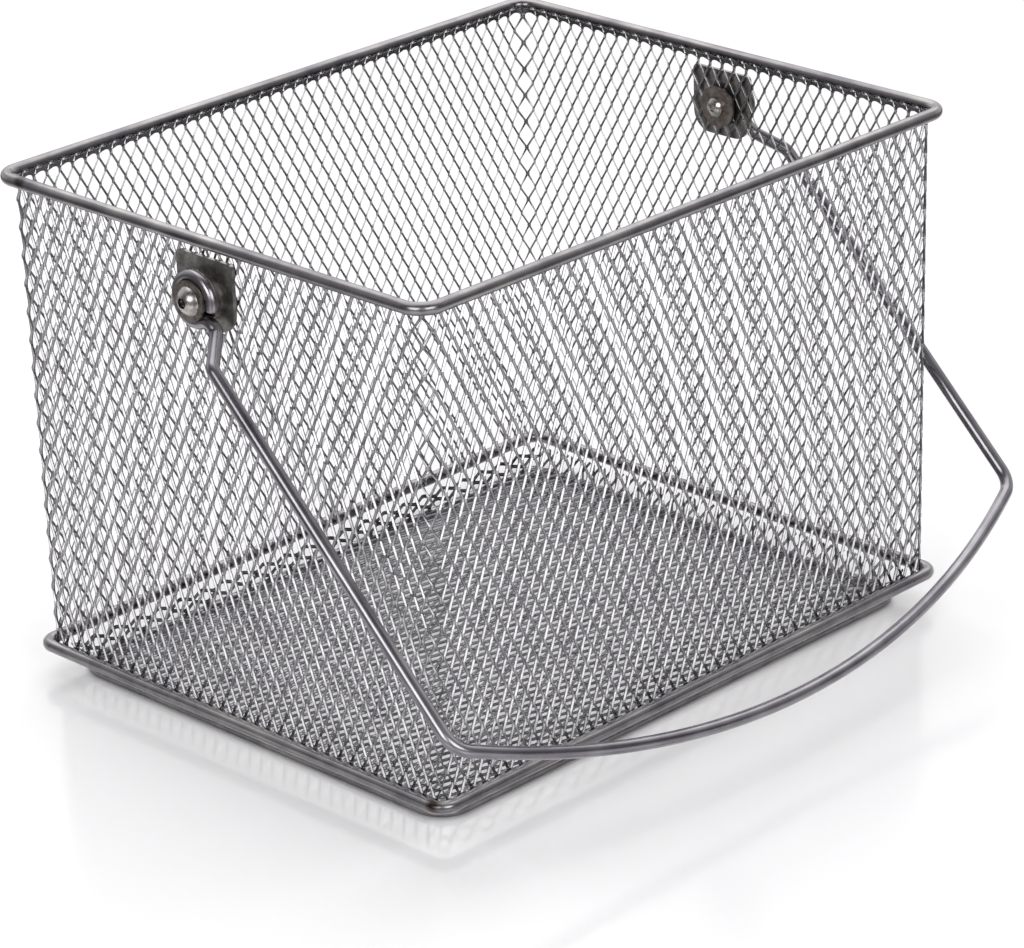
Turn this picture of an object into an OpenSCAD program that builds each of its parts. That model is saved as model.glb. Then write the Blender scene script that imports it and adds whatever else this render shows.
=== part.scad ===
// Open basket of expanded metal mesh with a folding wire bail.
// Four mesh walls stand inside a round wire rim and a round wire base ring. A smaller foot ring
// carries the mesh floor, whose turned-up edge meets the walls. The bail turns on two screws,
// one through each end wall, and lies folded down towards +X.
// Millimetres, Z up. The origin is the middle of the basket on the surface that it stands on.
// X runs across the basket and Y along it, so the bail turns about a line along Y.

/* [Basket] */
// Outer width of the rim across the basket
basket_width = 245; // [200:1:320]
// Outer length of the rim along the basket
basket_length = 305; // [240:1:380]
// Height from the standing surface to the top of the rim
basket_height = 220; // [160:1:280]
// How far the base ring lies inside the rim on every side
wall_draft = 2.5; // [0.5:0.1:3.5]

/* [Wires] */
// Diameter of the rim wire
rim_wire = 5.2; // [4:0.1:7]
// Diameter of the base ring's wire
base_wire = 5.2; // [4:0.1:7]
// Diameter of the foot ring's wire
foot_wire = 4.6; // [3.6:0.1:6]
// Centreline radius of the corners of the rim and the base ring
corner_radius = 9; // [8:0.5:14]
// Centreline radius of the corners of the foot ring
foot_corner_radius = 12; // [8:0.5:20]
// How far the foot ring lies inside the base ring on every side
foot_inset = 11; // [8:0.5:14]
// Height of the base ring's centreline above the foot ring's centreline
foot_drop = 10.6; // [8.5:0.1:14]
// Depth of the narrow flat along the underside of the foot ring
foot_flat = 0.3; // [0.2:0.05:0.5]

/* [Mesh] */
// Thickness of the mesh sheet
mesh_thickness = 1.4; // [1:0.1:2]
// Width of a strand of the coarse mesh
strand_width = 3; // [2:0.1:4]
// Width of a diamond of the coarse mesh, fitted to a whole number on each panel
diamond_width = 32; // [28:1:40]
// Height of a diamond of the coarse mesh, fitted to a whole number on each panel
diamond_height = 56; // [48:1:70]
// Width of the plain border round each mesh panel
mesh_border = 3; // [2:0.5:5]
// Gap between the mesh and the wires that it lies against
mesh_gap = 0.05; // [0.02:0.01:0.1]

/* [Handle] */
// Diameter of the handle wire
handle_wire = 5.4; // [4.5:0.1:6]
// Height of the pivot below the centreline of the rim
pivot_drop = 22.3; // [20:0.1:40]
// Distance from the pivot to the centreline of the grip at its middle
handle_reach = 241; // [230:1:260]
// Radius of the bowed grip
grip_radius = 365; // [280:5:500]
// Centreline radius of the two corners beside the grip
grip_corner_radius = 11; // [9:0.5:20]
// How much farther out each arm stands than its eyelet
arm_splay = 11.5; // [9:0.5:14]
// Distance along the arm from the pivot to the first bend of the splayed stretch
splay_start = 16; // [15.5:0.5:20]
// Distance along the arm between the two bends of the splayed stretch
splay_run = 13; // [12:0.5:20]
// Centreline radius of those two bends
splay_bend = 5; // [4:0.5:6]
// Centreline radius of the eyelet
eyelet_radius = 9.5; // [8.5:0.1:11]
// Centreline radius of the bend between eyelet and arm
eyelet_bend = 5; // [4:0.5:6]
// Angle that the eyelet's wire is wound round the screw
eyelet_turn = 312; // [270:2:312]
// Angle of the arms below level as the bail lies folded
fold_angle = 44.6; // [40:0.1:48]

/* [Pivot hardware] */
// Diameter of the screw's threaded shank
screw_diameter = 6; // [5:0.1:7]
// Radial play between the screw's shoulder and the eyelet that turns on it
eyelet_play = 0.08; // [0.03:0.01:0.1]
// Play on each side of the eyelet, between the washers
eyelet_side_play = 0.15; // [0.1:0.05:0.3]
// Diameter of the screw's button head
head_diameter = 12; // [10:0.1:14]
// Height of the screw's button head
head_height = 3.4; // [2.8:0.1:4.5]
// Width across the flats of the hex socket
socket_width = 4; // [3:0.5:5]
// Depth of the hex socket
socket_depth = 2.2; // [1.5:0.1:2.6]
// Diameter of the washer under the screw head
head_washer_diameter = 16.6; // [15:0.1:19]
// Diameter of the spacer washers between eyelet and plate
spacer_diameter = 19; // [16:0.5:23]
// Thickness of each washer
washer_thickness = 1.2; // [0.8:0.1:1.6]
// Width of the plate on the outside of the mesh
plate_width = 31.5; // [26:0.5:40]
// Height of the plate
plate_height = 29; // [26:0.5:34]
// Height of the plate's middle above the pivot
plate_lift = 1; // [0:0.5:2]
// Thickness of the plate
plate_thickness = 1.6; // [1.2:0.1:2.4]
// Radius of the plate's lower corners
plate_lower_radius = 9; // [4:0.5:12]
// Radius of the plate's upper corners
plate_upper_radius = 2; // [1:0.5:4]
// Diameter of the washer on the inside of the mesh
inner_washer_diameter = 18; // [16:0.5:22]
// Diameter of the domed nut on the inside
nut_diameter = 8.2; // [7.6:0.1:10]
// Height of the domed nut
nut_height = 3.2; // [2.6:0.1:4]
// Diameter of the recess in the end of the nut
recess_diameter = 3; // [2:0.1:4]
// Radial clearance of the screw in every hole that it passes
screw_clearance = 0.25; // [0.1:0.05:0.4]

/* [Hidden] */
$fn = 64;

// Heights of the three rings' centrelines
foot_level = foot_wire / 2 - foot_flat;
base_level = foot_level + foot_drop;
rim_level = basket_height - rim_wire / 2;
wall_height = rim_level - base_level;

// Half sizes to the rings' centrelines, across and along the basket
rim_half = [basket_width - rim_wire, basket_length - rim_wire] / 2;
base_half = [basket_width - base_wire, basket_length - base_wire] / 2 - [wall_draft, wall_draft];
foot_step = foot_inset + (foot_wire - base_wire) / 2;
foot_half = base_half - [foot_step, foot_step];

// The walls lean from the inside of the base ring to the inside of the rim
wall_top = rim_half - [1, 1] * (rim_wire / 2 + mesh_gap);
wall_foot = base_half - [1, 1] * (base_wire / 2 + mesh_gap);
wall_shift = wall_top[0] - wall_foot[0];
wall_lean = wall_shift / wall_height;
wall_corner = corner_radius - rim_wire / 2 - mesh_gap;
corner_at = wall_top - [wall_corner, wall_corner];
base_corner = wall_corner - wall_shift + base_wire / 2 + mesh_gap;

// Half length, from the middle of the basket, of an end wall's outer face at one height
function end_face(level) = wall_top[1] - wall_lean * (rim_level - level);

// The floor lies on the foot ring, and its turned-up edge ends under the walls
floor_level = foot_level + foot_wire / 2 + mesh_gap;
skirt_top = wall_foot - [1, 1] * (mesh_thickness + mesh_gap);
skirt_width = mesh_thickness * 1.3;

// Places along the pivot axis, measured outwards from the middle of the basket
pivot_level = rim_level - pivot_drop;
plate_in = end_face(pivot_level + plate_lift + plate_height / 2) + mesh_gap;
plate_out = plate_in + plate_thickness;
spacers_out = plate_out + 2 * washer_thickness;
eyelet_middle = spacers_out + eyelet_side_play + handle_wire / 2;
head_washer_in = eyelet_middle + handle_wire / 2 + eyelet_side_play;
head_in = head_washer_in + washer_thickness;
inner_washer_out = end_face(pivot_level - inner_washer_diameter / 2) - mesh_thickness - mesh_gap;
nut_out = inner_washer_out - washer_thickness;
nut_bore_depth = nut_height * 0.5;
shoulder_radius = eyelet_radius - handle_wire / 2 - eyelet_play;
hole_radius = screw_diameter / 2 + screw_clearance;

// The bail in its own plane: reach along the arm, then distance from the middle of the basket
arm_half = eyelet_middle + arm_splay;
grip_centre = handle_reach - grip_radius;
grip_corner_at = [
    grip_centre + sqrt(pow(grip_radius - grip_corner_radius, 2) - pow(arm_half - grip_corner_radius, 2)),
    arm_half - grip_corner_radius
];
grip_angle = atan2(grip_corner_at[1], grip_corner_at[0] - grip_centre);
eyelet_neck = sqrt(pow(eyelet_radius + eyelet_bend, 2) - pow(eyelet_bend, 2));
neck_angle = atan2(eyelet_bend, eyelet_neck);
splay_angle = atan2(arm_splay, splay_run);
splay_tangent = splay_bend * tan(splay_angle / 2);

// Each stretch of the bail ends just short of the next, inside a collar a hair wider than the wire
stretch_trim = 0.05;
collar_radius = handle_wire / 2 + 0.03;
collar_length = 0.4;

// A round wire bent to an arc in the XY plane, from one angle through a sweep
module wire_arc(wire, radius, from, sweep) {
    rotate([0, 0, from])
        rotate_extrude(angle = sweep)
            translate([radius, 0])
                circle(d = wire);
}

// A straight round wire in the XY plane, from one point to another
module wire_line(wire, start, end) {
    run = end - start;
    translate([start[0], start[1], 0])
        rotate([0, 0, atan2(run[1], run[0])])
            rotate([0, 90, 0])
                cylinder(d = wire, h = norm(run));
}

// A closed wire rectangle with round corners, centred on Z
module wire_ring(wire, half, radius) {
    flat = half - [radius, radius];
    for (k = [0, 1])
        rotate([0, 0, 180 * k]) {
            translate([flat[0], flat[1], 0])
                wire_arc(wire, radius, 0, 90);
            translate([-flat[0], flat[1], 0])
                wire_arc(wire, radius, 90, 90);
            wire_line(wire, [flat[0], half[1]], [-flat[0], half[1]]);
            wire_line(wire, [half[0], -flat[1]], [half[0], flat[1]]);
        }
}

// Diamonds in staggered rows that fill a centred rectangle, with half diamonds along its edges
module diamonds(width, height, cell_width, cell_height) {
    columns = max(1, round(width / cell_width));
    rows = max(1, round(height / cell_height));
    cell = [width / columns, height / rows];
    side = norm(cell) * strand_width / 2;
    half = [cell[0] / 2 - side / cell[1], cell[1] / 2 - side / cell[0]];
    intersection() {
        square([width, height], center = true);
        union() {
            for (i = [0:columns], j = [0:rows])
                translate([i * cell[0] - width / 2, j * cell[1] - height / 2])
                    diamond(half);
            for (i = [0:columns - 1], j = [0:rows - 1])
                translate([(i + 0.5) * cell[0] - width / 2, (j + 0.5) * cell[1] - height / 2])
                    diamond(half);
        }
    }
}

module diamond(half) {
    polygon([[-half[0], 0], [0, -half[1]], [half[0], 0], [0, half[1]]]);
}

// Cross-section of a leaning wall, measured from an upright line at a given distance inside it
module wall_profile(outer_top) {
    outer_foot = outer_top - wall_lean * wall_height;
    polygon([
        [outer_foot - mesh_thickness, base_level],
        [outer_foot, base_level],
        [outer_top, rim_level],
        [outer_top - mesh_thickness, rim_level]
    ]);
}

// The flat part of a wall that faces +X, as a coarse mesh, whole where its children say
module wall_flat(outer_top, flat_length) {
    middle = (base_level + rim_level) / 2;
    difference() {
        rotate([90, 0, 0])
            linear_extrude(height = flat_length, center = true)
                wall_profile(outer_top);
        translate([outer_top - mesh_thickness * 2 - wall_shift, 0, middle])
            rotate([90, 0, 90])
                linear_extrude(height = mesh_thickness * 4 + wall_shift)
                    difference() {
                        diamonds(flat_length - 2 * mesh_border, wall_height - 2 * mesh_border,
                            diamond_width, diamond_height);
                        children();
                    }
    }
}

// The solid patch of a wall round the pivot, in the wall's own plane
module pivot_patch() {
    translate([0, pivot_level - (base_level + rim_level) / 2])
        circle(d = inner_washer_diameter + 2 * mesh_border);
}

module end_wall() {
    difference() {
        rotate([0, 0, 90])
            wall_flat(wall_top[1], 2 * corner_at[0])
                pivot_patch();
        pivot_hole(wall_foot[1] - 2 * mesh_thickness, wall_top[1] + mesh_thickness);
    }
}

module side_wall() {
    wall_flat(wall_top[0], 2 * corner_at[1]);
    for (k = [0, 1])
        mirror([0, k, 0])
            translate([corner_at[0], corner_at[1], 0])
                rotate_extrude(angle = 90)
                    wall_profile(wall_corner);
}

// The clearance hole for a pivot screw between two distances along +Y
module pivot_hole(from, to) {
    translate([0, from, pivot_level])
        rotate([-90, 0, 0])
            cylinder(r = hole_radius, h = to - from);
}

// A block whose half size grows evenly from one level to the next
module flared_block(low_half, high_half, low, high) {
    span = 2 * max(high_half[0], high_half[1]);
    intersection() {
        rotate([90, 0, 0])
            linear_extrude(height = span, center = true)
                flared_outline(low_half[0], high_half[0], low, high);
        rotate([90, 0, 90])
            linear_extrude(height = span, center = true)
                flared_outline(low_half[1], high_half[1], low, high);
    }
}

module flared_outline(low_half, high_half, low, high) {
    polygon([[-low_half, low], [low_half, low], [high_half, high], [-high_half, high]]);
}

module top_rim() {
    color("silver")
        translate([0, 0, rim_level])
            wire_ring(rim_wire, rim_half, corner_radius);
}

module base_ring() {
    color("silver")
        translate([0, 0, base_level])
            wire_ring(base_wire, base_half, base_corner);
}

module foot_ring() {
    color("silver")
        difference() {
            translate([0, 0, foot_level])
                wire_ring(foot_wire, foot_half, foot_corner_radius);
            translate([-basket_width / 2, -basket_length / 2, -foot_wire])
                cube([basket_width, basket_length, foot_wire]);
        }
}

module mesh_back() {
    color("gainsboro")
        end_wall();
}

module mesh_front() {
    color("gainsboro")
        mirror([0, 1, 0])
            end_wall();
}

module mesh_right() {
    color("gainsboro")
        side_wall();
}

module mesh_left() {
    color("gainsboro")
        mirror([1, 0, 0])
            side_wall();
}

module mesh_floor() {
    inner_foot = foot_half - [skirt_width, skirt_width];
    inner_top = skirt_top - [skirt_width, skirt_width];
    floor_top = floor_level + mesh_thickness;
    skirt_end = base_level - mesh_gap;
    rise = skirt_end - floor_level;
    grow = (inner_top - inner_foot) * (floor_top - floor_level) / rise;
    color("darkgray")
        difference() {
            flared_block(foot_half, skirt_top, floor_level, skirt_end);
            flared_block(inner_foot + grow, inner_top + grow, floor_top, skirt_end + floor_top - floor_level);
            translate([0, 0, floor_level - 1])
                linear_extrude(height = mesh_thickness + 2)
                    diamonds(2 * inner_foot[0] - 2 * mesh_border, 2 * inner_foot[1] - 2 * mesh_border,
                        diamond_height, diamond_width);
            for (x = [0, 1], y = [0, 1])
                mirror([x, 0, 0])
                    mirror([0, y, 0])
                        floor_corner_cut();
        }
}

// What the round corner of the walls takes off the floor's square corner
module floor_corner_cut() {
    reach = wall_corner - wall_shift - mesh_thickness - mesh_gap;
    centre = skirt_top - [reach, reach];
    translate([centre[0], centre[1], floor_level - 1])
        difference() {
            cube([reach + 1, reach + 1, foot_drop + 2]);
            translate([0, 0, -1])
                cylinder(r = reach, h = foot_drop + 4);
        }
}

// A straight stretch of the bail and the collar at its far end
module bail_line(start, end) {
    run = end - start;
    trim = run * stretch_trim / norm(run);
    wire_line(handle_wire, start + trim, end - trim);
    bail_collar(end, atan2(run[1], run[0]));
}

// A bent stretch of the bail, and the collar at one end of its sweep
module bail_arc(centre, radius, from, sweep, collar_angle) {
    trim = stretch_trim / radius * 180 / PI;
    translate([centre[0], centre[1], 0])
        wire_arc(handle_wire, radius, from + trim, sweep - 2 * trim);
    bail_collar(centre + radius * [cos(collar_angle), sin(collar_angle)], collar_angle + 90);
}

module bail_collar(point, direction) {
    translate([point[0], point[1], 0])
        rotate([0, 0, direction])
            rotate([0, 90, 0])
                cylinder(r = collar_radius, h = collar_length, center = true);
}

// One half of the bail in its own plane, with reach along X, from the eyelet to the grip
module bail_half() {
    bend_one = [splay_start, eyelet_middle];
    bend_two = [splay_start + splay_run, arm_half];
    along = [cos(splay_angle), sin(splay_angle)] * splay_tangent;
    bend_one_centre = bend_one + [-splay_tangent, splay_bend];
    bend_two_centre = bend_two + [splay_tangent, -splay_bend];
    bail_line([eyelet_neck, eyelet_middle], bend_one - [splay_tangent, 0]);
    bail_arc(bend_one_centre, splay_bend, -90, splay_angle, splay_angle - 90);
    bail_line(bend_one + along, bend_two - along);
    bail_arc(bend_two_centre, splay_bend, 90, splay_angle, 90);
    bail_line(bend_two + [splay_tangent, 0], [grip_corner_at[0], arm_half]);
    bail_arc(grip_corner_at, grip_corner_radius, grip_angle, 90 - grip_angle, grip_angle);
    translate([0, eyelet_middle, 0])
        rotate([-90, 0, 0])
            eyelet();
}

// The eyelet in its own plane: a hook round the pivot and the bend that leads it into the arm
module eyelet() {
    trim = stretch_trim / eyelet_radius * 180 / PI;
    wire_arc(handle_wire, eyelet_radius, neck_angle + trim, eyelet_turn);
    bail_arc([eyelet_neck, eyelet_bend], eyelet_bend, 180 + neck_angle, 90 - neck_angle, 180 + neck_angle);
    bail_collar([eyelet_neck, 0], 0);
}

// The bowed grip between the bail's two corners
module grip() {
    trim = stretch_trim / grip_radius * 180 / PI;
    translate([grip_centre, 0, 0])
        wire_arc(handle_wire, grip_radius, trim - grip_angle, 2 * (grip_angle - trim), $fn = 256);
}

module bail_handle() {
    color("lightgray")
        translate([0, 0, pivot_level])
            rotate([0, fold_angle, 0]) {
                bail_half();
                mirror([0, 1, 0])
                    bail_half();
                grip();
            }
}

// Turns what lies along +Z from the middle of the basket outwards through one end wall
module at_pivot(end) {
    translate([0, 0, pivot_level])
        mirror([0, end == "front" ? 1 : 0, 0])
            rotate([-90, 0, 0])
                children();
}

module washer(diameter, from) {
    translate([0, 0, from])
        difference() {
            cylinder(d = diameter, h = washer_thickness);
            translate([0, 0, -1])
                cylinder(r = hole_radius, h = washer_thickness + 2);
        }
}

module screw(end) {
    dome = (pow(head_diameter / 2, 2) + pow(head_height, 2)) / (2 * head_height);
    color("gray")
        at_pivot(end)
            difference() {
                union() {
                    translate([0, 0, nut_out - nut_bore_depth])
                        cylinder(d = screw_diameter, h = head_in - nut_out + nut_bore_depth);
                    translate([0, 0, spacers_out])
                        cylinder(r = shoulder_radius, h = head_washer_in - spacers_out);
                    intersection() {
                        translate([0, 0, head_in])
                            cylinder(d = head_diameter, h = head_height);
                        translate([0, 0, head_in + head_height - dome])
                            sphere(r = dome);
                    }
                }
                translate([0, 0, head_in + head_height - socket_depth])
                    cylinder(d = socket_width / cos(30), h = socket_depth + 1, $fn = 6);
            }
}

module head_washer(end) {
    color("darkgray")
        at_pivot(end)
            washer(head_washer_diameter, head_washer_in);
}

module spacer(end, place) {
    color("dimgray")
        at_pivot(end)
            washer(spacer_diameter, plate_out + place * washer_thickness);
}

module inner_washer(end) {
    color("gray")
        at_pivot(end)
            washer(inner_washer_diameter, nut_out);
}

module plate_outline() {
    half = [plate_width, plate_height] / 2;
    union() {
        for (x = [-1, 1]) {
            translate([x * (half[0] - plate_lower_radius), half[1] - plate_lower_radius])
                circle(r = plate_lower_radius);
            translate([x * (half[0] - plate_upper_radius), plate_upper_radius - half[1]])
                circle(r = plate_upper_radius);
        }
        translate([-half[0], plate_upper_radius - half[1]])
            square([plate_width, plate_height - plate_upper_radius - plate_lower_radius]);
        translate([plate_lower_radius - half[0], 0])
            square([plate_width - 2 * plate_lower_radius, half[1]]);
        translate([plate_upper_radius - half[0], -half[1]])
            square([plate_width - 2 * plate_upper_radius, half[1]]);
    }
}

module plate(end) {
    color("darkgray")
        at_pivot(end)
            translate([0, 0, plate_in])
                linear_extrude(height = plate_thickness)
                    difference() {
                        translate([0, -plate_lift])
                            plate_outline();
                        circle(r = hole_radius);
                    }
}

module nut(end) {
    dome = (pow(nut_diameter / 2, 2) + pow(nut_height / 2, 2)) / nut_height;
    color("silver")
        at_pivot(end)
            difference() {
                intersection() {
                    translate([0, 0, nut_out - nut_height])
                        cylinder(d = nut_diameter, h = nut_height);
                    translate([0, 0, nut_out - nut_height + dome])
                        sphere(r = dome);
                }
                translate([0, 0, nut_out - nut_bore_depth])
                    cylinder(r = screw_diameter / 2 + mesh_gap, h = nut_height);
                translate([0, 0, nut_out - nut_height - 1])
                    cylinder(d = recess_diameter, h = 1 + nut_height * 0.25);
            }
}

top_rim();
base_ring();
foot_ring();
mesh_front();
mesh_back();
mesh_left();
mesh_right();
mesh_floor();
bail_handle();
screw("front");  // front_screw
head_washer("front");  // front_head_washer
spacer("front", 0);  // front_spacer_a
spacer("front", 1);  // front_spacer_b
plate("front");  // front_plate
inner_washer("front");  // front_inner_washer
nut("front");  // front_nut
screw("back");  // back_screw
head_washer("back");  // back_head_washer
spacer("back", 0);  // back_spacer_a
spacer("back", 1);  // back_spacer_b
plate("back");  // back_plate
inner_washer("back");  // back_inner_washer
nut("back");  // back_nut
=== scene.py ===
import math

import bpy
import numpy as np
from mathutils import Matrix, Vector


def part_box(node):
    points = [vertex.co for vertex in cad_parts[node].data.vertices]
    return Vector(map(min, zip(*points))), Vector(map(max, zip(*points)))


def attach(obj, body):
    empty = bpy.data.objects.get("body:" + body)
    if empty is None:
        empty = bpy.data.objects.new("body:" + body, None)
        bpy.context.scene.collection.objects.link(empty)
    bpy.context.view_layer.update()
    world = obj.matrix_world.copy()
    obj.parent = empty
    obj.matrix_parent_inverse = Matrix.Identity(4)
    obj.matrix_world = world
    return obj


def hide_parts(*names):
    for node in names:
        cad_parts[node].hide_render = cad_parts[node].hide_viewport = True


# Wire locker basket of expanded steel mesh with a folding bail.
# All shapes are worked out in millimetres and scaled to metres as they go into a mesh.

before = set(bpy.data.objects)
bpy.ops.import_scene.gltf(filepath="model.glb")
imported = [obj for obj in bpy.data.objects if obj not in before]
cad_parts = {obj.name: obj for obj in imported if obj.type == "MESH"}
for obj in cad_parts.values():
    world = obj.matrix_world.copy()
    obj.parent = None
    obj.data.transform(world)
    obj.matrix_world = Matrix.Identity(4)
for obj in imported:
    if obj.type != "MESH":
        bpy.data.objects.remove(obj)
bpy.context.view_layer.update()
print("frame loaded:", len(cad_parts), "CAD nodes")

millimetre = 0.001


def boxOf(node):
    # lowest and highest corner of a CAD node, in millimetres
    low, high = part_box(node)
    return np.array(low) * 1000, np.array(high) * 1000


def linearColour(code, alpha=1.0):
    # sRGB hex to linear: c / 12.92 below 0.04045, else ((c + 0.055) / 1.055) to the power 2.4
    values = np.array([int(code[k:k + 2], 16) / 255 for k in (1, 3, 5)])
    values = np.where(values <= 0.04045, values / 12.92, ((values + 0.055) / 1.055) ** 2.4)
    return (*values.tolist(), alpha)


def putMesh(name, points, faces, uv=None, smooth=True):
    # one mesh object at the origin, from points in millimetres and a list of faces; uv holds a row
    # for each point or for each corner of each face
    mesh = bpy.data.meshes.new(name)
    mesh.from_pydata((np.asarray(points) * millimetre).tolist(), [], faces)
    mesh.polygons.foreach_set("use_smooth", np.full(len(mesh.polygons), smooth))
    if uv is not None:
        layer = mesh.uv_layers.new(name="UVMap")
        if len(uv) == len(mesh.vertices):
            corner = np.empty(len(mesh.loops), dtype=np.int32)
            mesh.loops.foreach_get("vertex_index", corner)
            uv = uv[corner]
        layer.data.foreach_set("uv", uv.astype(np.float32).ravel())
    mesh.update()
    piece = bpy.data.objects.new(name, mesh)
    bpy.context.scene.collection.objects.link(piece)
    return piece


def addNode(tree, kind, settings=None, links=None):
    # adds one shader node, sets its properties or input values, and links its inputs
    node = tree.nodes.new(kind)
    for key, value in (settings or {}).items():
        if isinstance(key, str) and hasattr(node, key):
            setattr(node, key, value)
        else:
            node.inputs[key].default_value = value
    for key, socket in (links or {}).items():
        tree.links.new(socket, node.inputs[key])
    return node


def newMaterial(name):
    # a material with an empty tree but for its output
    material = bpy.data.materials.new(name)
    material.use_nodes = True
    tree = material.node_tree
    tree.nodes.clear()
    return material, tree, tree.nodes.new("ShaderNodeOutputMaterial")


# ---- camera: the photograph's viewing angle, on a 1024 x 948 frame ----
cameraPlace = {
    "azimuth": 44.958, "elevation": 22.836, "roll": -1.923,
    "lookAt": (18.273, -4.437, 78.947), "distance": 1874.5,
    "focalPixels": 4565.1, "frameWidth": 1024,
}


def placeCamera(place):
    # camera axes: forward from azimuth and elevation, right level, both turned by the roll
    azimuth, elevation, roll = (math.radians(place[k]) for k in ("azimuth", "elevation", "roll"))
    forward = np.array([-math.sin(azimuth) * math.cos(elevation),
                        math.cos(azimuth) * math.cos(elevation), -math.sin(elevation)])
    level = np.array([math.cos(azimuth), math.sin(azimuth), 0.0])
    above = np.cross(level, forward)
    right = level * math.cos(roll) + above * math.sin(roll)
    up = -level * math.sin(roll) + above * math.cos(roll)
    spot = (np.array(place["lookAt"]) - forward * place["distance"]) * millimetre
    camera = bpy.data.objects.new("camera", bpy.data.cameras.new("camera"))
    bpy.context.scene.collection.objects.link(camera)
    matrix = np.eye(4)
    matrix[:3, 0], matrix[:3, 1], matrix[:3, 2], matrix[:3, 3] = right, up, -forward, spot
    camera.matrix_world = Matrix(matrix.tolist())
    camera.data.lens = place["focalPixels"] * camera.data.sensor_width / place["frameWidth"]
    camera.data.clip_start, camera.data.clip_end = 0.1, 50
    bpy.context.scene.camera = camera


placeCamera(cameraPlace)
bpy.context.scene.view_settings.view_transform = "Standard"
print("camera placed")

# ---- wall mesh: expanded steel, slit and drawn out, two sheets that meet at two corners ----
sheet = {
    "pitch": 6.797,          # width of a diamond, so 152 fit round the basket
    "halfRow": 6.05,         # half the height of a diamond
    "topNode": 213.0,        # height of the highest row of bonds, just under the rim
    "strand": 1.12,          # width of a strand
    "thick": 0.54,           # thickness of the sheet that it was slit from
    "tilt": 30.0,            # how far each strand lies turned out of the wall
    "bond": 1.3,             # length of a bond, where two strands stay joined
    "inset": 0.95,           # the sheet's middle inside the outer face of the CAD wall
    "cornerRun": 6.48,       # length of sheet round a corner
    "pressed": 0.45,         # what is left of the sheet's depth where the plates clamp it
    "seamShare": 0.72,       # how narrow a strand is drawn where two sheets meet at a corner
    "seamReach": 9.0,        # how far from that corner the narrowing reaches
    "hemOut": (-0.6, -0.15),  # inner and outer face of the uncut edge along the rim
    "hemTop": (1.0, 0.35),   # how far its upper edge lies below the sheet's top, between tips and at one
    "hemFoot": (2.3, 3.05),  # the same for its lower edge, over an opening and over a bond
    "hemSteps": 10,          # sections of the edge in each diamond's width
    "tip": (1.25, 0.5),      # width and thickness of the tip over each bond, bent onto the rim
    "tipTurn": 121.3,        # how far the tips are turned out of the wall, degrees
    "tipOut": -0.45, "tipFoot": 2.5, "tipTop": 0.55,
    "tipLean": (0.75, 0.46),  # how far a tip's top is bent along the wall and outwards
}

rightLow, rightHigh = boxOf("mesh_right")
frontLow, frontHigh = boxOf("mesh_front")
pivotHeight = 195.1
headTop = boxOf("back_screw")[1][1]
wallLow, wallTop = rightLow[2], rightHigh[2]
cornerX = frontHigh[0]
cornerRadius = rightHigh[0] - cornerX
cornerY = rightHigh[1] - cornerRadius
leanPerMm = 2.5 / (wallTop - wallLow)
longRun, shortRun, cornerRun = 2 * cornerY, 2 * cornerX, sheet["cornerRun"]
runs = [longRun, cornerRun, shortRun, cornerRun] * 2
marks = np.concatenate([[0], np.cumsum(runs)])
girth = marks[-1]
markX = cornerX * np.array([1, 1, 1, -1, -1, -1, -1, 1, 1])
markY = cornerY * np.array([-1, 1, 1, 1, 1, -1, -1, -1, -1])
markTurn = np.radians([0, 0, 90, 90, 180, 180, 270, 270, 360])


def ontoWall(along, out, height):
    # a point on the leaning, round-cornered wall: the corner centre slides along the flats, and the
    # radius is the corner radius less the lean times the drop below the rim, plus the way out
    along = np.mod(along, girth)
    turn = np.interp(along, marks, markTurn)
    radius = cornerRadius - sheet["inset"] - leanPerMm * (wallTop - height) + out
    x = np.interp(along, marks, markX) + radius * np.cos(turn)
    y = np.interp(along, marks, markY) + radius * np.sin(turn)
    return np.stack([x, y, np.broadcast_to(height, x.shape)], axis=-1)


def zigzag(height, values, middleNode):
    # triangle wave with flats: 1 at even bonds and -1 at odd ones, level along each bond
    steps = (middleNode - height) / values["halfRow"]
    nearest = np.round(steps)
    away = np.abs(steps - nearest) * values["halfRow"]
    share = np.clip((away - values["bond"] / 2) / (values["halfRow"] - values["bond"]), 0, 1)
    return np.where(nearest % 2 == 0, 1, -1) * (1 - 2 * share)


def ringHeights(values, middleNode, low, high):
    # a cross-section at both ends of every bond, and one at each cut end
    count = int((high - low) / values["halfRow"]) + 3
    nodes = middleNode - values["halfRow"] * np.arange(-1, count)
    both = np.concatenate([nodes - values["bond"] / 2, nodes + values["bond"] / 2])
    inside = both[(both > low + 0.15) & (both < high - 0.15)]
    return np.sort(np.concatenate([inside, [low, high]]))


def strandSections(along, side, wide, heights, values, middleNode, parity):
    # four corners of each section: the centre swings from bond to bond, and the flat strand is
    # turned by the tilt, so its centre also moves in and out by the tilt's sine
    tilt = math.radians(values["tilt"])
    half = (wide * values["strand"] / 2)[:, None]
    across, depth = math.cos(tilt) * half, math.sin(tilt) * half
    swing = parity[:, None] * zigzag(heights, values, middleNode)[None, :]
    reach = (values["pitch"] / 4 - across) * 1.03
    centreAlong = along[:, None] + swing * reach
    centreOut = -side[:, None] * swing * depth
    cornerWide = np.array([1, -1, -1, 1])
    cornerThick = np.array([1, 1, -1, -1])
    thick = values["thick"] / 2 * cornerThick
    a = centreAlong[..., None] + across[..., None] * cornerWide - side[:, None, None] * math.sin(tilt) * thick
    n = centreOut[..., None] + side[:, None, None] * depth[..., None] * cornerWide + math.cos(tilt) * thick
    return a, n


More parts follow.
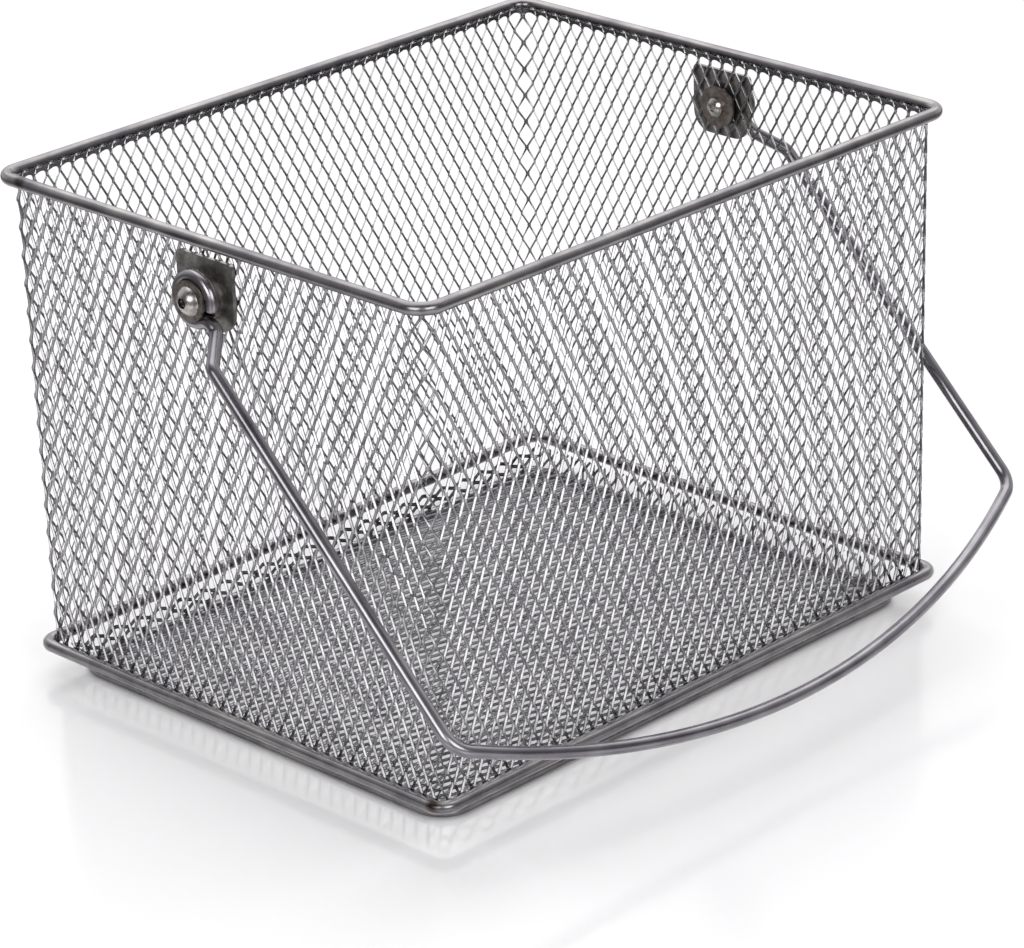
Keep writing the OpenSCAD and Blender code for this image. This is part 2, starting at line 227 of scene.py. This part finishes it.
def stripFaces(strands, rings, keep=None):
    # quads between neighbouring sections of each strand, and one at each end
    base = (np.arange(strands)[:, None, None] * rings + np.arange(rings - 1)[None, :, None]) * 4
    corner = np.arange(4)[None, None, :]
    after = (corner + 1) % 4
    quads = np.stack([base + corner, base + 4 + corner, base + 4 + after, base + after], axis=-1)
    if keep is not None:
        quads = quads[keep]
    first = np.arange(strands)[:, None] * rings * 4 + np.array([0, 1, 2, 3])
    last = first[:, ::-1] + (rings - 1) * 4
    return quads.reshape(-1, 4).tolist() + first.tolist() + last.tolist()


def strandUv(faces, strands):
    # u runs from 0 to 1 across the two broad sides of a strand; v is 1 on its thin, sheared sides
    u = np.array([[0, 0, 1, 1], [0.5] * 4, [0, 0, 1, 1], [0.5] * 4]).ravel()
    v = np.array([[0] * 4, [1] * 4, [0] * 4, [1] * 4]).ravel()
    around = np.tile(np.stack([u, v], axis=-1), ((faces - 2 * strands) // 4, 1))
    return np.concatenate([around, np.tile([[0.5, 1.0]], (8 * strands, 1))])


def hemSections(start, end):
    # the uncut edge along the rim: sections of four corners; with w = 0 over an opening and 1 over a
    # bond of the highest row, its upper edge peaks with the fourth power of w
    step = girth / round(girth / sheet["pitch"])
    along = np.linspace(start, end, int((end - start) / step * sheet["hemSteps"]) + 1)
    w = (1 - np.cos(2 * math.pi * along / step)) / 2
    top = wallTop - sheet["hemTop"][0] + (sheet["hemTop"][0] - sheet["hemTop"][1]) * w ** 4
    foot = wallTop - sheet["hemFoot"][0] + (sheet["hemFoot"][0] - sheet["hemFoot"][1]) * w
    inner, outer = sheet["hemOut"]
    z = np.stack([top, top, foot, foot], axis=-1)
    n = np.broadcast_to([outer, inner, inner, outer], z.shape)
    return ontoWall(np.broadcast_to(along[:, None], z.shape), n, z)


def sheetSide(place):
    # the two sheets lean their strands opposite ways and meet in the middle of two corners
    place = np.mod(place, girth)
    return np.where((place < marks[3] + cornerRun / 2) | (place > girth - cornerRun / 2), 1, -1)


def tipSections(start, end):
    # a short upright tab over each bond of the highest row: two sections of four corners, the upper
    # one shifted by the lean
    step = girth / round(girth / sheet["pitch"])
    middle = (np.arange(math.ceil(start / step - 0.5), math.ceil(end / step - 0.5)) + 0.5) * step
    side = sheetSide(middle)[:, None, None]
    turn = math.radians(sheet["tipTurn"])
    wide, thick = (np.array(signs) * size / 2 for signs, size in zip(([1, -1, -1, 1], [1, 1, -1, -1]), sheet["tip"]))
    rise = np.array([0, 1])[None, :, None]
    a = middle[:, None, None] + math.cos(turn) * side * wide - math.sin(turn) * thick + sheet["tipLean"][0] * side * rise
    n = sheet["tipOut"] + math.sin(turn) * wide + math.cos(turn) * side * thick + sheet["tipLean"][1] * rise
    z = wallTop - sheet["tipFoot"] + (sheet["tipFoot"] - sheet["tipTop"]) * rise
    return ontoWall(a, n, np.broadcast_to(z, a.shape))


def wallPiece(name, start, end, replaced):
    # all strands whose middle lies between two places round the basket
    spacing = sheet["pitch"] / 2
    number = np.arange(int(round(girth / spacing)))
    place = (number + 0.5) * girth / len(number)
    chosen = np.mod(place - start, girth) < end - start
    place, parity = place[chosen], np.where(number[chosen] % 2 == 0, 1, -1)
    side = sheetSide(place)
    seam = marks[3] + cornerRun / 2
    toSeam = np.min([np.abs(place - seam), np.abs(place - girth + cornerRun / 2), place + cornerRun / 2], axis=0)
    wide = 1 - (1 - sheet["seamShare"]) * np.clip(1 - toSeam / sheet["seamReach"], 0, 1)
    heights = ringHeights(sheet, sheet["topNode"], wallLow, wallTop)
    a, n = strandSections(place, side, wide, heights, sheet, sheet["topNode"], parity)
    z = np.broadcast_to(heights[None, :, None], a.shape)
    points = ontoWall(a, n, z)
    # pressed flatter under the pivot plates: depth fades back to full between 12 and 20 mm away
    far = np.hypot(points[..., 0], points[..., 2] - pivotHeight)
    grow = np.clip((far - 14) / 8, 0, 1)
    squeeze = sheet["pressed"] + (1 - sheet["pressed"]) * grow * grow * (3 - 2 * grow)
    points = ontoWall(a, n * squeeze, z)
    # nothing crosses the screw's hole
    middle = far.mean(axis=-1)
    clear = np.minimum(middle[:, 1:], middle[:, :-1]) > 3.4
    faces = stripFaces(len(place), len(heights), clear)
    hem = hemSections(start, end)
    tips = tipSections(start, end)
    uv = [strandUv(len(faces), len(place))]
    points = points.reshape(-1, 3)
    # the uncut edge gets u = 0.87, so the edge darkening paints shade on it; the tips' 0.5 leaves them unshaded
    for extra, strips, rings, u in ((hem, 1, len(hem), 0.87), (tips, len(tips), 2, 0.5)):
        more = np.array(stripFaces(strips, rings)) + len(points)
        faces += more.tolist()
        uv.append(np.tile([[u, 0.0]], (more.size, 1)))
        points = np.concatenate([points, extra.reshape(-1, 3)])
    piece = putMesh(name, points, faces, np.concatenate(uv), smooth=False)
    piece.data.materials.append(meshSteel)
    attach(piece, "basket")
    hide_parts(replaced)
    return piece


# ---- floor mesh: the same expanded steel, its edge turned up all round ----
floorSheet = {
    "pitch": 6.8, "halfRow": 6.05, "strand": 1.2, "thick": 0.46, "tilt": 34.0, "bond": 1.3,
    "inset": 0.75,           # the sheet's middle above the foot ring
    "turnUp": 51.0,          # angle of the turned-up edge
}


def floorPiece(name):
    # u across and v along the sheet, with the long way of the diamonds along the basket; past the
    # foot ring the sheet follows the turned-up edge, at its angle
    low, high = boxOf("mesh_floor")
    footX, footY = 104.4, 134.4
    edge = (high[2] - 0.6 - low[2] - floorSheet["inset"]) / math.sin(math.radians(floorSheet["turnUp"]))
    spacing = floorSheet["pitch"] / 2
    count = int(2 * (footX + edge) / spacing)
    place = (np.arange(count) - (count - 1) / 2) * spacing
    parity = np.where(np.arange(count) % 2 == 0, 1, -1)
    reachY = footY + edge
    rows = ringHeights(floorSheet, 0.0, -reachY, reachY)
    # the rings are counted down from the middle node, so the half below it is mirrored
    below = rows[rows < -0.01]
    rows = np.sort(np.concatenate([below, -below, [-footY, footY]]))
    a, n = strandSections(place, -np.ones(count), np.ones(count), rows, floorSheet, 0.0, parity)
    v = np.broadcast_to(rows[None, :, None], a.shape)
    cos, sin = math.cos(math.radians(floorSheet["turnUp"])), math.sin(math.radians(floorSheet["turnUp"]))
    overX, overY = np.maximum(np.abs(a) - footX, 0), np.maximum(np.abs(v) - footY, 0)
    x = np.sign(a) * (np.minimum(np.abs(a), footX) + overX * cos)
    y = np.sign(v) * (np.minimum(np.abs(v), footY) + overY * cos)
    z = low[2] + floorSheet["inset"] + np.maximum(overX, overY) * sin + n
    points = np.stack([x, y, z], axis=-1).reshape(-1, 3)
    # seen along +Y the sections turn the other way round, so the faces are flipped
    faces = [face[::-1] for face in stripFaces(count, len(rows))]
    piece = putMesh(name, points, faces, strandUv(len(faces), count), smooth=False)
    piece.data.materials.append(floorSteel)
    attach(piece, "basket")
    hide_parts("mesh_floor")
    return piece


# ---- bail: one round wire bent into eyelet, arm, grip, arm and eyelet ----
bail = {
    "wire": 5.4, "pivot": pivotHeight, "fold": 44.6, "reach": 241.0, "gripRadius": 365.0,
    "gripCorner": 11.0, "eyeletOut": 154.07, "splay": 11.5, "splayStart": 16.0, "splayRun": 13.0,
    "splayBend": 5.0, "eyeletRadius": 9.5, "eyeletBend": 5.0, "eyeletTurn": 312.0, "sides": 32,
}


def arcPoints(centre, radius, start, end, count):
    # points on an arc, angles in degrees
    angle = np.radians(np.linspace(start, end, count))
    return np.stack([centre[0] + radius * np.cos(angle), centre[1] + radius * np.sin(angle)], axis=-1)


def bailPath():
    # half of the centreline in the bail's own plane, from the cut end of the eyelet to mid-grip
    neck = math.sqrt((bail["eyeletRadius"] + bail["eyeletBend"]) ** 2 - bail["eyeletBend"] ** 2)
    neckAngle = math.degrees(math.atan2(bail["eyeletBend"], neck))
    ring = arcPoints((0, 0), bail["eyeletRadius"], neckAngle + bail["eyeletTurn"], neckAngle, 72)
    bend = arcPoints((neck, bail["eyeletBend"]), bail["eyeletBend"], 180 + neckAngle, 270, 12)[1:]
    hook = np.concatenate([ring, bend])
    hook = np.stack([hook[:, 0], np.full(len(hook), bail["eyeletOut"]), -hook[:, 1]], axis=-1)
    armOut = bail["eyeletOut"] + bail["splay"]
    slope = math.degrees(math.atan2(bail["splay"], bail["splayRun"]))
    tangent = bail["splayBend"] * math.tan(math.radians(slope / 2))
    one = arcPoints((bail["splayStart"] - tangent, bail["eyeletOut"] + bail["splayBend"]),
                    bail["splayBend"], -90, slope - 90, 10)
    two = arcPoints((bail["splayStart"] + bail["splayRun"] + tangent, armOut - bail["splayBend"]),
                    bail["splayBend"], 90 + slope, 90, 10)
    gripMiddle = bail["reach"] - bail["gripRadius"]
    inner, cornerOut = bail["gripRadius"] - bail["gripCorner"], armOut - bail["gripCorner"]
    cornerIn = gripMiddle + math.sqrt(inner ** 2 - cornerOut ** 2)
    gripAngle = math.degrees(math.atan2(cornerOut, cornerIn - gripMiddle))
    armLine = np.stack([np.linspace(two[-1, 0], cornerIn, 40)[1:-1], np.full(38, armOut)], axis=-1)
    corner = arcPoints((cornerIn, cornerOut), bail["gripCorner"], 90, gripAngle, 16)
    grip = arcPoints((gripMiddle, 0), bail["gripRadius"], gripAngle, 0, 48)[1:]
    flat = np.concatenate([one, two, armLine, corner, grip])
    flat = np.stack([flat[:, 0], flat[:, 1], np.zeros(len(flat))], axis=-1)
    half = np.concatenate([hook, flat])
    return np.concatenate([half, (half * np.array([1, -1, 1]))[-2::-1]])


def tubeMesh(path, radius, sides, hint):
    # rings of points round a path: two vectors square to the path carry a circle; the cut ends are
    # flat with a small bevel, and UV holds the way along and round the wire in metres
    tangent = np.gradient(path, axis=0)
    tangent /= np.linalg.norm(tangent, axis=1, keepdims=True)
    across = np.cross(tangent, hint)
    across /= np.linalg.norm(across, axis=1, keepdims=True)
    second = np.cross(across, tangent)
    scale = np.ones(len(path))
    bevel = 0.35
    path = np.concatenate([[path[0]], [path[0] + tangent[0] * bevel], path[1:-1],
                           [path[-1] - tangent[-1] * bevel], [path[-1]]])
    repeat = np.concatenate([[0, 0], np.arange(1, len(tangent) - 1), [len(tangent) - 1] * 2])
    across, second = across[repeat], second[repeat]
    scale = np.ones(len(path))
    scale[0] = scale[-1] = 1 - bevel / radius
    angle = np.linspace(0, 2 * math.pi, sides + 1)
    circle = np.cos(angle)[None, :, None] * across[:, None, :] + np.sin(angle)[None, :, None] * second[:, None, :]
    points = path[:, None, :] + circle * (radius * scale)[:, None, None]
    length = np.concatenate([[0], np.cumsum(np.linalg.norm(np.diff(path, axis=0), axis=1))])
    uv = np.stack(np.broadcast_arrays(length[:, None], (angle * radius)[None, :]), axis=-1) * millimetre
    row, column = np.meshgrid(np.arange(len(path) - 1), np.arange(sides), indexing="ij")
    first = row * (sides + 1) + column
    quads = np.stack([first, first + sides + 1, first + sides + 2, first + 1], axis=-1).reshape(-1, 4)
    ends = [list(range(sides)), [(len(path) - 1) * (sides + 1) + k for k in range(sides)][::-1]]
    return points.reshape(-1, 3), quads.tolist() + ends, uv.reshape(-1, 2)


def bailPiece(name):
    path = bailPath()
    points, faces, uv = tubeMesh(path, bail["wire"] / 2, bail["sides"], np.array([0, 0.7071, 0.7071]))
    fold = math.radians(bail["fold"])
    turn = np.array([[math.cos(fold), 0, math.sin(fold)], [0, 1, 0], [-math.sin(fold), 0, math.cos(fold)]])
    points = points @ turn.T + np.array([0, 0, bail["pivot"]])
    piece = putMesh(name, points, faces, uv)
    piece.data.materials.append(wireSteel)
    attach(piece, "bail")
    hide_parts("bail_handle")
    return piece


# ---- materials ----
def steelMaterial(name, light, dark, rough, streak, grain, bump, coordinates="Object", spots=None, socket=0, edge=None):
    # bright plated steel: colour drifts between two greys in streaks, finer grain moves the
    # roughness, and a shallow bump breaks the reflection into soft lines
    material, tree, output = newMaterial(name)
    where = addNode(tree, "ShaderNodeTexCoord")
    place = addNode(tree, "ShaderNodeMapping", {"Scale": streak}, {"Vector": where.outputs[coordinates]})
    lines = addNode(tree, "ShaderNodeTexNoise", {"Scale": 1.0, "Detail": 3.0}, {"Vector": place.outputs[0]})
    cloud = addNode(tree, "ShaderNodeTexNoise", {"Scale": grain, "Detail": 2.0}, {"Vector": where.outputs[coordinates]})
    blend = addNode(tree, "ShaderNodeMath", {"operation": "MULTIPLY_ADD", 1: 0.6, 2: 0.0}, {0: lines.outputs[0]})
    both = addNode(tree, "ShaderNodeMath", {"operation": "MULTIPLY_ADD", 1: 0.4}, {0: cloud.outputs[0], 2: blend.outputs[0]})
    ramp = addNode(tree, "ShaderNodeValToRGB", links={0: both.outputs[0]})
    ramp.color_ramp.elements[0].position, ramp.color_ramp.elements[0].color = 0.34, linearColour(dark)
    ramp.color_ramp.elements[1].position, ramp.color_ramp.elements[1].color = 0.66, linearColour(light)
    colour = ramp.outputs[0]
    for spot in spots or []:
        # a weld: heat-darkened steel round one point, fading over a few millimetres
        centred = addNode(tree, "ShaderNodeVectorMath", {"operation": "DISTANCE", 1: spot["at"]}, {0: where.outputs["Object"]})
        ragged = addNode(tree, "ShaderNodeMath", {"operation": "MULTIPLY_ADD", 1: spot["size"] * 0.8}, {0: cloud.outputs[0], 2: centred.outputs["Value"]})
        fade = addNode(tree, "ShaderNodeMapRange", {"From Min": spot["size"] * 0.9, "From Max": spot["size"] * 1.9, "To Min": 1.0, "To Max": 0.0}, {"Value": ragged.outputs[0]})
        mixed = addNode(tree, "ShaderNodeMix", {"data_type": "RGBA", "blend_type": "MIX"})
        mixed.inputs[7].default_value = linearColour(spot["colour"])
        tree.links.new(fade.outputs[0], mixed.inputs[0])
        tree.links.new(colour, mixed.inputs[6])
        colour = mixed.outputs[2]
    if edge:
        # painted shade: strands are darkened along both edges and on their thin sides, in place of the shade that
        # rounded, sheared edges would fall into
        parts = addNode(tree, "ShaderNodeSeparateXYZ", links={0: where.outputs["UV"]})
        middle = addNode(tree, "ShaderNodeMath", {"operation": "SUBTRACT", 1: 0.5}, {0: parts.outputs[0]})
        aside = addNode(tree, "ShaderNodeMath", {"operation": "ABSOLUTE"}, {0: middle.outputs[0]})
        paintedEdgeShade = addNode(tree, "ShaderNodeMapRange", {"From Min": edge["from"], "From Max": edge["to"], "To Min": 1.0, "To Max": edge["shade"]}, {"Value": aside.outputs[0]})
        paintedSideShade = addNode(tree, "ShaderNodeMapRange", {"To Min": 1.0, "To Max": edge["side"]}, {"Value": parts.outputs[1]})
        shade = addNode(tree, "ShaderNodeMath", {"operation": "MULTIPLY"}, {0: paintedEdgeShade.outputs[0], 1: paintedSideShade.outputs[0]})
        colour = addNode(tree, "ShaderNodeVectorMath", {"operation": "SCALE"}, {0: colour, "Scale": shade.outputs[0]}).outputs[0]
    if socket:
        # painted shade in the socket of a fastener: near the axis of the screws the colour drops to a dark grey,
        # for both screws at once, by the size of y, and only their heads, as y counts for a quarter
        positive = addNode(tree, "ShaderNodeVectorMath", {"operation": "ABSOLUTE"}, {0: where.outputs["Object"]})
        flat = addNode(tree, "ShaderNodeVectorMath", {"operation": "MULTIPLY", 1: (1, 0.25, 1)}, {0: positive.outputs[0]})
        axis = addNode(tree, "ShaderNodeVectorMath", {"operation": "DISTANCE", 1: (0, 0.25 * headTop * millimetre, pivotHeight * millimetre)}, {0: flat.outputs[0]})
        inside = addNode(tree, "ShaderNodeMapRange", {"From Min": socket - 0.0001, "From Max": socket + 0.0001, "To Min": 0.1, "To Max": 1.0}, {"Value": axis.outputs["Value"]})
        mixed = addNode(tree, "ShaderNodeMix", {"data_type": "RGBA", "blend_type": "MIX"})
        mixed.inputs[6].default_value = linearColour("#1d1c1e")
        tree.links.new(inside.outputs[0], mixed.inputs[0])
        tree.links.new(colour, mixed.inputs[7])
        colour = mixed.outputs[2]
    roughness = addNode(tree, "ShaderNodeMapRange", {"To Min": rough[0], "To Max": rough[1]}, {"Value": both.outputs[0]})
    relief = addNode(tree, "ShaderNodeBump", {"Strength": bump[0], "Distance": bump[1]}, {"Height": both.outputs[0]})
    shader = addNode(tree, "ShaderNodeBsdfPrincipled", {"Metallic": 1.0},
                     {"Base Color": colour, "Roughness": roughness.outputs[0], "Normal": relief.outputs[0]})
    tree.links.new(shader.outputs[0], output.inputs[0])
    return material


# zinc-plated expanded steel: satin, with the grey spangle of the plating, and painted shade along the strands' edges
# and thin sides
meshSteel = steelMaterial("zincPlatedExpandedSteel", "#b4b3b5", "#7f7d81", (0.18, 0.36), (160, 160, 60), 420, (0.25, 0.0002),
                          edge={"from": 0.26, "to": 0.42, "shade": 0.2, "side": 0.7})
# the floor sheet: the same steel painted darker, as painted shade for the basket's floor that lies in shadow, with
# darker painted shade along the strands' edges
floorSteel = steelMaterial("paintedShadeExpandedSteelFloor", "#9d9ca0", "#67656a", (0.16, 0.34), (160, 60, 160), 420, (0.25, 0.0002),
                           edge={"from": 0.20, "to": 0.40, "shade": 0.12, "side": 1.0})
# drawn wire with bright plating: long draw lines that run with the wire
wireSteel = steelMaterial("platedDrawnWire", "#a19ea1", "#69666d", (0.20, 0.36), (14, 620, 1), 60, (0.12, 0.0002), "UV")
ringSteel = steelMaterial(
    "platedRingWire", "#9c9998", "#66636a", (0.20, 0.36), (22, 22, 900), 90, (0.14, 0.0002),
    spots=[{"at": (-0.1041, -0.1519, 0.2191), "size": 0.0024, "colour": "#454341"},
           {"at": (0.1137, -0.1488, 0.0144), "size": 0.0026, "colour": "#3a302c"}])
# polished steel of the screws and nuts: near-mirror with faint handling marks; the screws' sockets are painted dark as
# shade
screwSteel = steelMaterial("polishedSteelScrew", "#bdb9b5", "#8d8987", (0.20, 0.34), (300, 300, 300), 900, (0.06, 0.0001), socket=0.00205)
nutSteel = steelMaterial("polishedSteelNut", "#c6c2bc", "#96918d", (0.14, 0.30), (300, 300, 300), 900, (0.06, 0.0001))
# the washers took heat when they were made: duller, with a brown cast
washerSteel = steelMaterial("brownedSteelWasher", "#9b928b", "#635a55", (0.26, 0.44), (300, 300, 300), 800, (0.12, 0.0002))
# stamped and tumbled steel of the plates and plain washers: satin with a warm, slightly olive cast
stampedSteel = steelMaterial("satinStampedSteel", "#a9a6a0", "#767373", (0.26, 0.46), (240, 240, 240), 700, (0.2, 0.0002))

nodeMaterials = {
    "top_rim": ringSteel, "base_ring": ringSteel, "foot_ring": ringSteel,
    "front_screw": screwSteel, "back_screw": screwSteel,
    "front_nut": nutSteel, "back_nut": nutSteel,
    "front_head_washer": washerSteel, "back_head_washer": washerSteel,
    "front_spacer_a": stampedSteel, "front_spacer_b": stampedSteel,
    "back_spacer_a": stampedSteel, "back_spacer_b": stampedSteel,
    "front_plate": stampedSteel, "back_plate": stampedSteel,
    "front_inner_washer": washerSteel, "back_inner_washer": washerSteel,
}
for nodeName, material in nodeMaterials.items():
    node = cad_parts[nodeName]
    if not node.material_slots:
        node.data.materials.append(material)
    for slot in node.material_slots:
        slot.material = material
print("materials on", len(nodeMaterials), "CAD nodes")

wallPiece("rightWallMesh", -cornerRun, longRun + cornerRun, "mesh_right")
wallPiece("backWallMesh", marks[2], marks[3], "mesh_back")
wallPiece("leftWallMesh", marks[3], marks[6], "mesh_left")
wallPiece("frontWallMesh", marks[6], marks[7], "mesh_front")
print("wall mesh made")
floorPiece("floorMesh")
print("floor mesh made")
bailPiece("bailWire")
print("bail made")

# ---- floor, lamps and world ----
studio = {
    "floorHalf": 6.0, "floorColour": "#efeeef", "whiteFrom": 0.42, "whiteTo": 0.58, "whiteCentre": (-0.12, 0.12, 0),
    "sheen": 0.16, "sheenRough": 0.16,
    "dim": (0.13, 0.13, 0.14), "bright": (1.04, 1.04, 1.04), "axis": (-0.68, 0.68, 0.28),
    "darkFrom": 0.40, "darkTo": 0.60, "darkShare": 0.10,
}


def stageFloor():
    half = studio["floorHalf"] * 1000
    points = np.array([[-half, -half, 0], [half, -half, 0], [half, half, 0], [-half, half, 0]])
    piece = putMesh("studioFloor", points, [[0, 1, 2, 3]], smooth=False)
    material, tree, output = newMaterial("paleStudioFloor")
    where = addNode(tree, "ShaderNodeTexCoord")
    # painted shade: in front and to both sides, beyond the frame, the board's colour is painted dark, as a dark room
    # for the metal to reflect
    front = addNode(tree, "ShaderNodeVectorMath", {"operation": "DOT_PRODUCT", 1: (0.7071, -0.7071, 0)}, {0: where.outputs["Object"]})
    aside = addNode(tree, "ShaderNodeVectorMath", {"operation": "DOT_PRODUCT", 1: (0.7071, 0.7071, 0)}, {0: where.outputs["Object"]})
    aside = addNode(tree, "ShaderNodeMath", {"operation": "ABSOLUTE"}, {0: aside.outputs["Value"]})
    reach = addNode(tree, "ShaderNodeMath", {"operation": "MAXIMUM"}, {0: front.outputs["Value"], 1: aside.outputs[0]})
    paintedRoomTone = addNode(tree, "ShaderNodeMapRange", {"interpolation_type": "SMOOTHSTEP", "From Min": studio["darkFrom"], "From Max": studio["darkTo"],
                                               "To Min": 1.0, "To Max": studio["darkShare"]}, {"Value": reach.outputs[0]})
    tone = addNode(tree, "ShaderNodeVectorMath", {"operation": "SCALE", 0: linearColour(studio["floorColour"])[:3]}, {"Scale": paintedRoomTone.outputs[0]})
    plain = addNode(tree, "ShaderNodeBsdfDiffuse", links={"Color": tone.outputs[0]})
    # away from the object the floor shows plain white to the camera, to reflections and through glass; reflections in
    # front and to the sides get less of it, by the painted dark room tone
    away = addNode(tree, "ShaderNodeVectorMath", {"operation": "DISTANCE", 1: studio["whiteCentre"]}, {0: where.outputs["Object"]})
    fade = addNode(tree, "ShaderNodeMapRange", {"interpolation_type": "SMOOTHSTEP", "From Min": studio["whiteFrom"], "From Max": studio["whiteTo"]},
                   {"Value": away.outputs["Value"]})
    ray = addNode(tree, "ShaderNodeLightPath")
    glossy = addNode(tree, "ShaderNodeMath", {"operation": "MULTIPLY"}, {0: ray.outputs["Is Glossy Ray"], 1: paintedRoomTone.outputs[0]})
    seen = addNode(tree, "ShaderNodeMath", {"operation": "MAXIMUM"}, {0: ray.outputs["Is Camera Ray"], 1: glossy.outputs[0]})
    seen = addNode(tree, "ShaderNodeMath", {"operation": "MAXIMUM"}, {0: seen.outputs[0], 1: ray.outputs["Is Transmission Ray"]})
    share = addNode(tree, "ShaderNodeMath", {"operation": "MULTIPLY"}, {0: fade.outputs[0], 1: seen.outputs[0]})
    white = addNode(tree, "ShaderNodeEmission", {"Strength": 1.0})
    mix = addNode(tree, "ShaderNodeMixShader", links={0: share.outputs[0], 1: plain.outputs[0], 2: white.outputs[0]})
    # a faint soft mirror image of the basket, as in a slightly glossy white board
    mirror = addNode(tree, "ShaderNodeBsdfGlossy", {"Color": (1, 1, 1, 1), "Roughness": studio["sheenRough"]})
    sheen = addNode(tree, "ShaderNodeMixShader", {0: studio["sheen"]}, {1: mix.outputs[0], 2: mirror.outputs[0]})
    tree.links.new(sheen.outputs[0], output.inputs[0])
    piece.data.materials.append(material)


def softBox(name, direction, distance, width, height, radiance):
    # a square lamp that faces the object; its power is radiance times pi times its area
    lamp = bpy.data.lights.new(name, "AREA")
    lamp.shape, lamp.size, lamp.size_y = "RECTANGLE", width, height
    lamp.energy = radiance * math.pi * width * height
    piece = bpy.data.objects.new(name, lamp)
    back = np.array(direction) / np.linalg.norm(direction)
    side = np.cross([0, 0, 1], back) if abs(back[2]) < 0.99 else np.array([1.0, 0, 0])
    side /= np.linalg.norm(side)
    matrix = np.eye(4)
    matrix[:3, 0], matrix[:3, 1], matrix[:3, 2] = side, np.cross(back, side), back
    matrix[:3, 3] = back * distance + np.array([0, 0, 0.1])
    piece.matrix_world = Matrix(matrix.tolist())
    bpy.context.scene.collection.objects.link(piece)


def studioWorld():
    world = bpy.data.worlds.new("studioWorld")
    bpy.context.scene.world = world
    world.use_nodes = True
    tree = world.node_tree
    tree.nodes.clear()
    output = tree.nodes.new("ShaderNodeOutputWorld")
    where = addNode(tree, "ShaderNodeTexCoord")
    # dim on the camera's side and low down, bright behind the object and overhead
    toward = addNode(tree, "ShaderNodeVectorMath", {"operation": "DOT_PRODUCT", 1: studio["axis"]}, {0: where.outputs["Generated"]})
    rise = addNode(tree, "ShaderNodeMapRange", {"interpolation_type": "SMOOTHSTEP", "From Min": -0.25, "From Max": 0.75}, {"Value": toward.outputs["Value"]})
    ramp = addNode(tree, "ShaderNodeValToRGB", links={0: rise.outputs[0]})
    ramp.color_ramp.elements[0].color = (*studio["dim"], 1)
    ramp.color_ramp.elements[1].color = (*studio["bright"], 1)
    sky = addNode(tree, "ShaderNodeBackground", {"Strength": 1.0}, {"Color": ramp.outputs[0]})
    tree.links.new(sky.outputs[0], output.inputs[0])


stageFloor()
softBox("leftSoftBox", (0.28, -0.88, 0.36), 2.0, 1.1, 0.9, 4.4)
softBox("rightSoftBox", (0.88, -0.28, 0.36), 2.0, 1.1, 0.9, 4.4)
softBox("overheadSoftBox", (-0.30, 0.30, 0.90), 2.4, 3.6, 3.6, 1.42)
studioWorld()
print("floor, lamps and world made")
